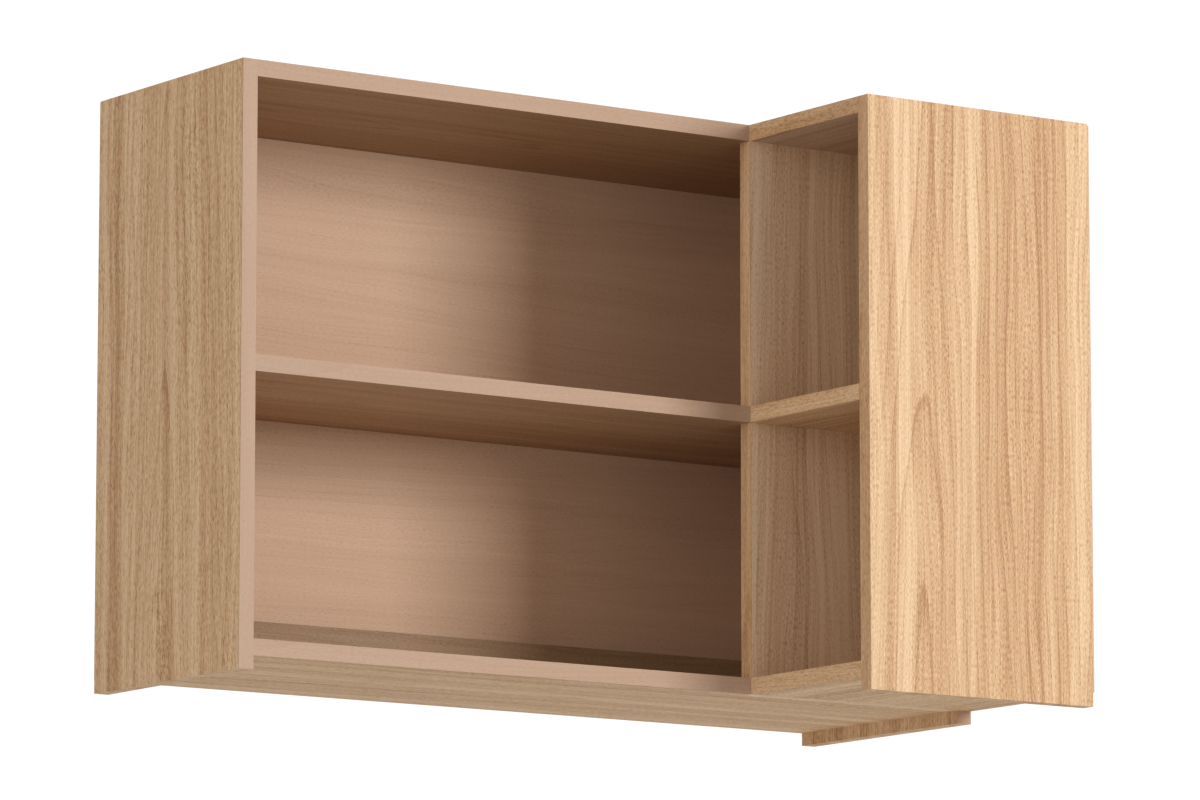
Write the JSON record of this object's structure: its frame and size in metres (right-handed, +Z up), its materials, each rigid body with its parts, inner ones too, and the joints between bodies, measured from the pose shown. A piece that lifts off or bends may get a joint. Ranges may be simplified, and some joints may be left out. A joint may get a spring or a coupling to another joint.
{
  "type": "wall cabinet",
  "caption": "Open L-shaped corner wall cabinet in wood-grain board: a long unit with one shelf, and a short unit that stands in front of its blind end and opens sideways.",
  "frame": {"origin": "centre of the long unit's rear face, where the back panel meets the wall", "axes": "+X to the right along the long wall, +Y into the long wall, +Z up"},
  "size_m": [0.968, 0.517, 0.65],
  "materials": {
    "wood_laminate": "matt wood-grain laminate on board, light elm tone",
    "edge_band": "matt wood-tone edge band",
    "back_board": "matt wood-grain foil on thin hardboard",
    "beech_dowel": "raw fluted beech",
    "zinc_cam": "die-cast zinc, dull grey",
    "cap_plastic": "wood-tone plastic",
    "cover_plastic": "fine-textured off-white plastic",
    "hanger_steel": "pressed galvanised steel",
    "hook_steel": "zinc-plated steel",
    "screw_steel": "bright zinc-plated steel"
  },
  "bodies": {
    "carcass": {"left_side_panel": "wood_laminate", "right_side_panel": "wood_laminate", "long_top_panel": "wood_laminate", "long_bottom_panel": "wood_laminate", "long_shelf": "wood_laminate", "long_back_panel": "back_board", "lower_wall_rail": "wood_laminate", "blind_panel": "wood_laminate", "end_panel": "wood_laminate", "short_top_panel": "wood_laminate", "short_bottom_panel": "wood_laminate", "short_back_panel": "back_board", "left_side_band": "edge_band", "right_side_band": "edge_band", "long_top_band": "edge_band", "long_bottom_band": "edge_band", "long_shelf_band": "edge_band", "blind_panel_band": "edge_band", "end_panel_band": "edge_band", "short_top_band": "edge_band", "short_bottom_band": "edge_band", "long_dowels": "beech_dowel", "short_dowels": "beech_dowel", "long_cams": "zinc_cam", "short_cams": "zinc_cam", "long_cam_bolts": "screw_steel", "short_cam_bolts": "screw_steel", "cam_caps": "cap_plastic", "blind_panel_screws": "screw_steel", "long_back_nails": "screw_steel", "short_back_nails": "screw_steel", "shelf_pins": "screw_steel", "left_hanger_housing": "hanger_steel", "left_hanger_cover": "cover_plastic", "right_hanger_housing": "hanger_steel", "right_hanger_cover": "cover_plastic", "hanger_fixing_screws": "screw_steel"},
    "loose_shelf": {"short_shelf": "wood_laminate", "short_shelf_band": "edge_band"},
    "left_carriage": {"left_hanger_carriage": "hook_steel"},
    "left_hook": {"left_hanger_hook": "hook_steel"},
    "left_height_screw": {"left_height_screw": "screw_steel"},
    "left_depth_screw": {"left_depth_screw": "screw_steel"},
    "right_carriage": {"right_hanger_carriage": "hook_steel"},
    "right_hook": {"right_hanger_hook": "hook_steel"},
    "right_height_screw": {"right_height_screw": "screw_steel"},
    "right_depth_screw": {"right_depth_screw": "screw_steel"}
  },
  "joints": [
    {"name": "loose_shelf_slide", "type": "slide", "parent": "carcass", "child": "loose_shelf", "axis": [-1, 0, 0], "range_m": [0, 0.31]},
    {"name": "left_carriage_slide", "type": "slide", "parent": "carcass", "child": "left_carriage", "axis": [0, 0, 1], "range_m": [-0.006, 0.006]},
    {"name": "left_height_screw_turn", "type": "hinge", "parent": "carcass", "child": "left_height_screw", "pos_m": [-0.4581, -0.031, 0.241], "axis": [0, 0, 1], "range_deg": [-1441, 1441]},
    {"name": "left_hook_slide", "type": "slide", "parent": "left_carriage", "child": "left_hook", "axis": [0, 1, 0], "range_m": [-0.004, 0.005]},
    {"name": "left_depth_screw_turn", "type": "hinge", "parent": "left_hook", "child": "left_depth_screw", "pos_m": [-0.4467, -0.053, 0.271], "axis": [0, 1, 0], "range_deg": [-1441, 1801]},
    {"name": "right_carriage_slide", "type": "slide", "parent": "carcass", "child": "right_carriage", "axis": [0, 0, 1], "range_m": [-0.006, 0.006]},
    {"name": "right_height_screw_turn", "type": "hinge", "parent": "carcass", "child": "right_height_screw", "pos_m": [0.4581, -0.031, 0.241], "axis": [0, 0, 1], "range_deg": [-1441, 1441]},
    {"name": "right_hook_slide", "type": "slide", "parent": "right_carriage", "child": "right_hook", "axis": [0, 1, 0], "range_m": [-0.004, 0.005]},
    {"name": "right_depth_screw_turn", "type": "hinge", "parent": "right_hook", "child": "right_depth_screw", "pos_m": [0.4467, -0.053, 0.271], "axis": [0, 1, 0], "range_deg": [-1441, 1801]}
  ],
  "couplings": [
    {"joint": "left_height_screw_turn", "follows": "left_carriage_slide", "rad_per_m": -4188.8},
    {"joint": "left_depth_screw_turn", "follows": "left_hook_slide", "rad_per_m": 6283.2},
    {"joint": "right_height_screw_turn", "follows": "right_carriage_slide", "rad_per_m": -4188.8},
    {"joint": "right_depth_screw_turn", "follows": "right_hook_slide", "rad_per_m": 6283.2}
  ]
}
